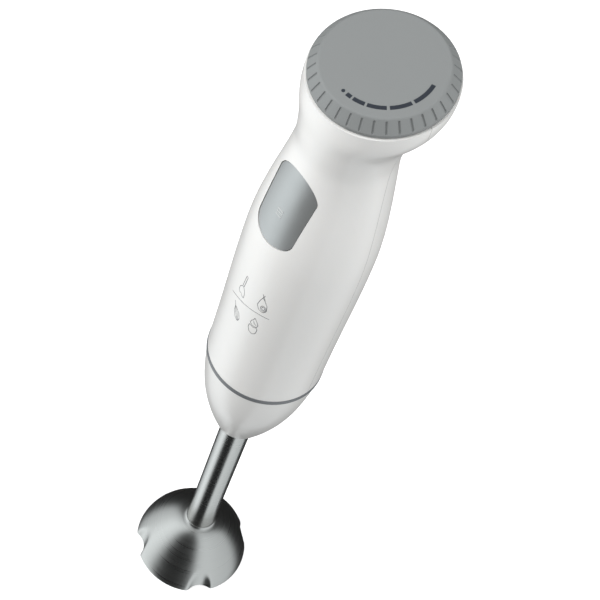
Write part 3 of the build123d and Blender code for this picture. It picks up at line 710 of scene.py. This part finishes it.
# strokes in millimetres: round the handle from its front, and height above its lower edge; closed or open
SYMBOLS = {
    "symbol_divider": [
        (False, [(-8.6, 55.6), (-4.6, 57.1), (-0.4, 58.2), (3.7, 59.1), (8.6, 60.2), (14.6, 61.1)])],
    "symbol_blend": [
        (True, [(-2.3, 74.6), (-1.3, 74.5), (-1.9, 66.8), (-2.9, 66.9)]),
        (True, [(-2.9, 66.8), (-4.3, 65.0), (-4.5, 62.6), (-3.4, 61.5), (-2.6, 62.1), (-1.6, 61.1),
                (-0.3, 60.8), (-0.3, 63.2), (-0.9, 65.4), (-1.9, 66.7)])],
    "symbol_puree": [
        (True, [(8.9, 71.8), (8.0, 69.2), (7.4, 65.8), (8.6, 63.4), (10.9, 62.8), (12.3, 64.8), (11.9, 68.2),
                (10.2, 70.8)]),
        (False, [(8.4, 74.0), (9.3, 72.4), (10.2, 71.1)]),
        (False, [(9.6, 73.8), (9.1, 72.6), (8.8, 71.6)]),
        (True, ring_points(10.6, 65.5, 1.35, 1.7)),
        (True, ring_points(10.6, 65.5, 0.7, 1.0))],
    "symbol_whisk": [
        (False, [(-4.4, 53.8), (-3.2, 51.6)]),
        (True, [(-3.3, 51.7), (-3.2, 48.6), (-1.6, 45.4), (0.5, 44.6), (1.2, 46.8), (0.0, 50.0),
                (-2.2, 51.6)]),
        (False, [(-3.1, 51.4), (-2.0, 48.2), (0.2, 45.0)]),
        (False, [(-2.8, 51.4), (-1.0, 49.0), (0.6, 45.6)])],
    "symbol_cream": [
        (True, [(8.6, 56.5), (10.0, 54.8), (11.1, 52.8), (10.6, 51.0), (8.6, 50.7), (7.2, 51.6), (7.3, 53.4),
                (8.3, 54.8)]),
        (False, [(8.5, 54.0), (9.2, 52.4), (10.4, 52.2)]),
        (True, [(7.0, 50.6), (6.8, 48.2), (7.8, 45.8), (9.6, 45.2), (11.0, 46.6), (11.3, 49.2), (11.0, 50.8),
                (9.0, 49.8)])],
}


class STICKBLENDER_OT_symbols(bpy.types.Operator):
    """Model the printed symbols on the handle as thin lines laid on its surface"""
    bl_idname = "stick_blender.symbols"
    bl_label = "Handle Symbols"

    def closer(self, closed, points):
        """More points along the runs, so that the line follows the round of the handle."""
        ends = points[1:] + points[:1] if closed else points[1:]
        more = []
        for (x0, z0), (x1, z1) in zip(points, ends):
            count = max(1, round(math.hypot(x1 - x0, z1 - z0) / 1.1))
            more += [(x0 + (x1 - x0) * i / count, z0 + (z1 - z0) * i / count) for i in range(count)]
        return more if closed else more + [points[-1]]

    def stroke(self, closed, points, width):
        half = width / 2
        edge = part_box("front_housing")[0].z
        curve = bpy.data.curves.new("stroke", "CURVE")
        curve.dimensions = "3D"
        line = curve.splines.new("NURBS")
        points = self.closer(closed, points)
        line.points.add(len(points) - 1)
        for point, (arc, z) in zip(line.points, points):
            point.co = (*on_shell("front_housing", arc * MM, edge + z * MM, -0.62 * half), 1)
        line.order_u = 3
        line.use_cyclic_u = closed
        line.use_endpoint_u = not closed
        line.resolution_u = 6
        curve.bevel_depth = half
        curve.bevel_resolution = 2
        curve.use_fill_caps = not closed
        obj = bpy.data.objects.new("stroke", curve)
        bpy.context.scene.collection.objects.link(obj)
        pick(obj)
        bpy.ops.object.convert(target="MESH")
        return bpy.context.active_object

    def execute(self, context):
        sizes = context.scene.stick_blender_marks
        ink = printed_ink("handle_ink", context.scene.stick_blender_colours.ink)
        for name, strokes in SYMBOLS.items():
            parts = [self.stroke(closed, points, sizes.stroke) for closed, points in strokes]
            pick(*parts)
            if len(parts) > 1:
                bpy.ops.object.join()
            symbol = bpy.context.active_object
            symbol.name = name
            settle(symbol)
            symbol.data.materials.clear()
            symbol.data.materials.append(ink)
            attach(symbol, "motor_unit")
        return {"FINISHED"}


# ---- finger ribs on the button -------------------------------------------------------
class STICKBLENDER_OT_button_ribs(bpy.types.Operator):
    """Model the short raised ribs in the middle of the power button"""
    bl_idname = "stick_blender.button_ribs"
    bl_label = "Button Ribs"

    def execute(self, context):
        sizes = context.scene.stick_blender_marks
        low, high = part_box("power_button")
        middle = (low.z + high.z) / 2 - 3.0 * MM
        ribs = []
        for i in range(sizes.rib_count):
            z = middle + (i - (sizes.rib_count - 1) / 2) * 1.5 * MM
            spot = on_shell("power_button", 0.0, z)
            bpy.ops.object.select_all(action="DESELECT")
            bpy.ops.mesh.primitive_cube_add(size=1.0, location=spot)
            rib = bpy.context.active_object
            rib.scale = (sizes.rib_length, 0.34 * MM, 0.5 * MM)
            settle(rib)
            bpy.ops.object.mode_set(mode="EDIT")
            bpy.ops.mesh.select_all(action="SELECT")
            bpy.ops.mesh.bevel(offset=0.14 * MM, segments=4, affect="EDGES")
            bpy.ops.object.mode_set(mode="OBJECT")
            bpy.ops.object.shade_smooth_by_angle(angle=math.radians(40))
            ribs.append(rib)
        pick(*ribs)
        bpy.ops.object.join()
        made = bpy.context.active_object
        made.name = "button_ribs"
        settle(made)
        made.data.materials.clear()
        made.data.materials.append(bpy.data.materials["button_silver"])
        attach(made, "button")
        return {"FINISHED"}


# ---- stage ---------------------------------------------------------------------------
class STICKBLENDER_OT_stage(bpy.types.Operator):
    """Set the pale floor, the soft lights, the room and the camera"""
    bl_idname = "stick_blender.stage"
    bl_label = "Stage"

    def floor(self):
        bpy.ops.object.select_all(action="DESELECT")
        bpy.ops.mesh.primitive_plane_add(size=8.0, location=(0, 0, 0))
        floor = bpy.context.active_object
        floor.name = "studio_floor"
        settle(floor)
        floor.visible_glossy = False
        floor.visible_diffuse = False
        material, tree, shader, place = new_material("floor_paper")
        skin = use_group(tree, moulded_grain(), place, grain_scale=900.0, flow_scale=2.0)
        shade(tree, skin.outputs["Flow"], (0.93, 0.93, 0.93), (0.9, 0.9, 0.9), shader.inputs["Base Color"])
        shader.inputs["Roughness"].default_value = 0.9
        shader.inputs["Emission Color"].default_value = (1, 1, 1, 1)
        shader.inputs["Emission Strength"].default_value = 0.35
        floor.data.materials.append(material)

    def light(self, name, spot, size, power):
        bpy.ops.object.light_add(type="AREA", location=spot)
        light = bpy.context.active_object
        light.name = name
        light.data.shape = "DISK"
        light.data.size = size
        light.data.energy = power
        light.visible_glossy = False
        aim = Vector((0, 0, 0.22)) - Vector(spot)
        light.rotation_euler = aim.to_track_quat("-Z", "Y").to_euler()

    # brightness round the room as reflections see it, from the back by the left, front and right
    panels = ((0.0, 0.012), (0.235, 0.012), (0.3, 0.8), (0.4, 1.3), (0.44, 1.15), (0.515, 0.025),
              (0.65, 0.025), (0.69, 0.95), (0.87, 0.75), (0.93, 0.012))

    def room(self, level):
        """Plain pale room; in reflections it has dark ends and bright sides, as between two soft screens."""
        world = bpy.data.worlds.new("studio_room")
        bpy.context.scene.world = world
        world.use_nodes = True
        tree = world.node_tree
        plain = tree.nodes["Background"]
        plain.inputs["Color"].default_value = (1, 1, 1, 1)
        plain.inputs["Strength"].default_value = level
        screens = add(tree, "Background")
        place = add(tree, "TexCoord")
        parts = add(tree, "SeparateXYZ")
        turn = add(tree, "Math", operation="ARCTAN2")
        front = add(tree, "Math", operation="MULTIPLY")
        front.inputs[1].default_value = -1.0
        share = add(tree, "MapRange")
        share.inputs["From Min"].default_value = -math.pi
        share.inputs["From Max"].default_value = math.pi
        bands = add(tree, "ValToRGB")
        bands.color_ramp.interpolation = "EASE"
        marks = bands.color_ramp.elements
        while len(marks) < len(self.panels):
            marks.new(0.5)
        for mark, (position, glow) in zip(marks, self.panels):
            mark.position = position
            mark.color = (glow * 0.94, glow, glow * 1.02, 1)
        wire(tree, place.outputs["Generated"], parts.inputs["Vector"])
        wire(tree, parts.outputs["Y"], front.inputs[0])
        wire(tree, parts.outputs["X"], turn.inputs[0])
        wire(tree, front.outputs["Value"], turn.inputs[1])
        wire(tree, turn.outputs["Value"], share.inputs["Value"])
        wire(tree, share.outputs["Result"], bands.inputs["Fac"])
        wire(tree, bands.outputs["Color"], screens.inputs["Color"])
        path = add(tree, "LightPath")
        mix = add(tree, "MixShader")
        wire(tree, path.outputs["Is Glossy Ray"], mix.inputs["Fac"])
        wire(tree, plain.outputs["Background"], mix.inputs[1])
        wire(tree, screens.outputs["Background"], mix.inputs[2])
        wire(tree, mix.outputs["Shader"], tree.nodes["World Output"].inputs["Surface"])

    def camera(self, lens):
        look = Vector((-0.36471, 0.49891, -0.78618)).normalized()
        up = Vector((-0.73642, 0.36214, 0.57144))
        right = look.cross(up).normalized()
        up = right.cross(look).normalized()
        turn = Matrix((right, up, -look)).transposed().to_4x4()
        turn.translation = Vector((0.2260, -0.2999, 0.7307))
        bpy.ops.object.camera_add()
        camera = bpy.context.active_object
        camera.name = "studio_camera"
        camera.matrix_world = turn
        camera.data.lens = lens
        camera.data.sensor_width = 36.0
        bpy.context.scene.camera = camera

    def execute(self, context):
        sizes = context.scene.stick_blender_studio
        context.scene.view_settings.view_transform = "Standard"
        self.floor()
        self.light("key_light", (-0.55, -0.95, 1.0), 0.9, sizes.key_power)
        self.light("fill_light", (0.8, 0.7, 0.9), 0.8, sizes.fill_power)
        self.light("top_light", (0.0, 0.1, 1.6), 1.0, sizes.top_power)
        self.room(sizes.room)
        self.camera(sizes.lens)
        return {"FINISHED"}


# ---- panel and registering -----------------------------------------------------------
OPERATORS = (
    STICKBLENDER_OT_shell, STICKBLENDER_OT_dial, STICKBLENDER_OT_button, STICKBLENDER_OT_foot,
    STICKBLENDER_OT_guard, STICKBLENDER_OT_works, STICKBLENDER_OT_dial_scale, STICKBLENDER_OT_symbols,
    STICKBLENDER_OT_button_ribs, STICKBLENDER_OT_stage,
)


class STICKBLENDER_PT_panel(bpy.types.Panel):
    """Stick blender's finishes, marks and studio"""
    bl_idname = "STICKBLENDER_PT_panel"
    bl_label = "Stick Blender"
    bl_space_type = "VIEW_3D"
    bl_region_type = "UI"
    bl_category = "Stick Blender"

    def draw(self, context):
        for group in ("colours", "guard", "marks", "studio"):
            settings = getattr(context.scene, "stick_blender_" + group)
            box = self.layout.box()
            for name in settings.__annotations__:
                box.prop(settings, name)
        for operator in OPERATORS:
            self.layout.operator(operator.bl_idname)


CLASSES = (ShellColours, GuardSizes, MarkSizes, StudioSizes, *OPERATORS, STICKBLENDER_PT_panel)


def register():
    for cls in CLASSES:
        bpy.utils.register_class(cls)
    bpy.types.Scene.stick_blender_colours = PointerProperty(type=ShellColours)
    bpy.types.Scene.stick_blender_guard = PointerProperty(type=GuardSizes)
    bpy.types.Scene.stick_blender_marks = PointerProperty(type=MarkSizes)
    bpy.types.Scene.stick_blender_studio = PointerProperty(type=StudioSizes)


def unregister():
    del bpy.types.Scene.stick_blender_studio
    del bpy.types.Scene.stick_blender_marks
    del bpy.types.Scene.stick_blender_guard
    del bpy.types.Scene.stick_blender_colours
    for cls in reversed(CLASSES):
        bpy.utils.unregister_class(cls)


def main():
    register()
    bpy.ops.stick_blender.shell()
    bpy.ops.stick_blender.dial()
    bpy.ops.stick_blender.button()
    bpy.ops.stick_blender.foot()
    bpy.ops.stick_blender.guard()
    bpy.ops.stick_blender.works()
    bpy.ops.stick_blender.dial_scale()
    bpy.ops.stick_blender.symbols()
    bpy.ops.stick_blender.button_ribs()
    bpy.ops.stick_blender.stage()


if __name__ == "__main__":
    main()
